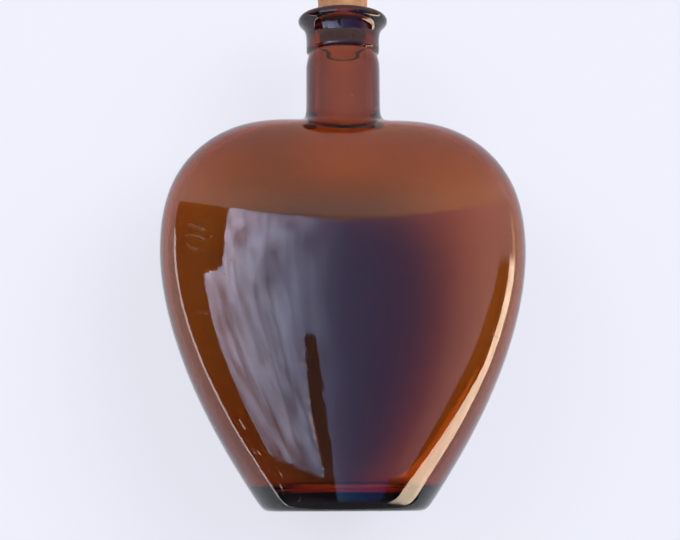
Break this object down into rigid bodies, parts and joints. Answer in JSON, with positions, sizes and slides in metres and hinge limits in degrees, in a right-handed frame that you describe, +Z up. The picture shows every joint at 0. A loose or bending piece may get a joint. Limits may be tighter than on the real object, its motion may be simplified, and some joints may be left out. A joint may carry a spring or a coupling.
{
  "type": "corked flagon bottle",
  "caption": "Flattened heart-shaped flagon of amber glass with a round neck, rolled lip and a cork stopper that pulls out.",
  "frame": {"origin": "middle of the rest ring under the base", "axes": "+Z up the axis of the bottle towards the mouth, +X across the wide face, wide face looks along -Y"},
  "size_m": [0.1392, 0.0752, 0.2032],
  "materials": {
    "amber_glass": "clear moulded glass, deep amber brown",
    "natural_cork": "bare natural cork with dark pores"
  },
  "bodies": {
    "bottle": {"glass_bottle": "amber_glass"},
    "stopper": {"cork_stopper": "natural_cork"}
  },
  "joints": [
    {"name": "cork_pull", "type": "slide", "parent": "bottle", "child": "stopper", "axis": [0, 0, 1], "range_m": [0, 0.05]}
  ]
}
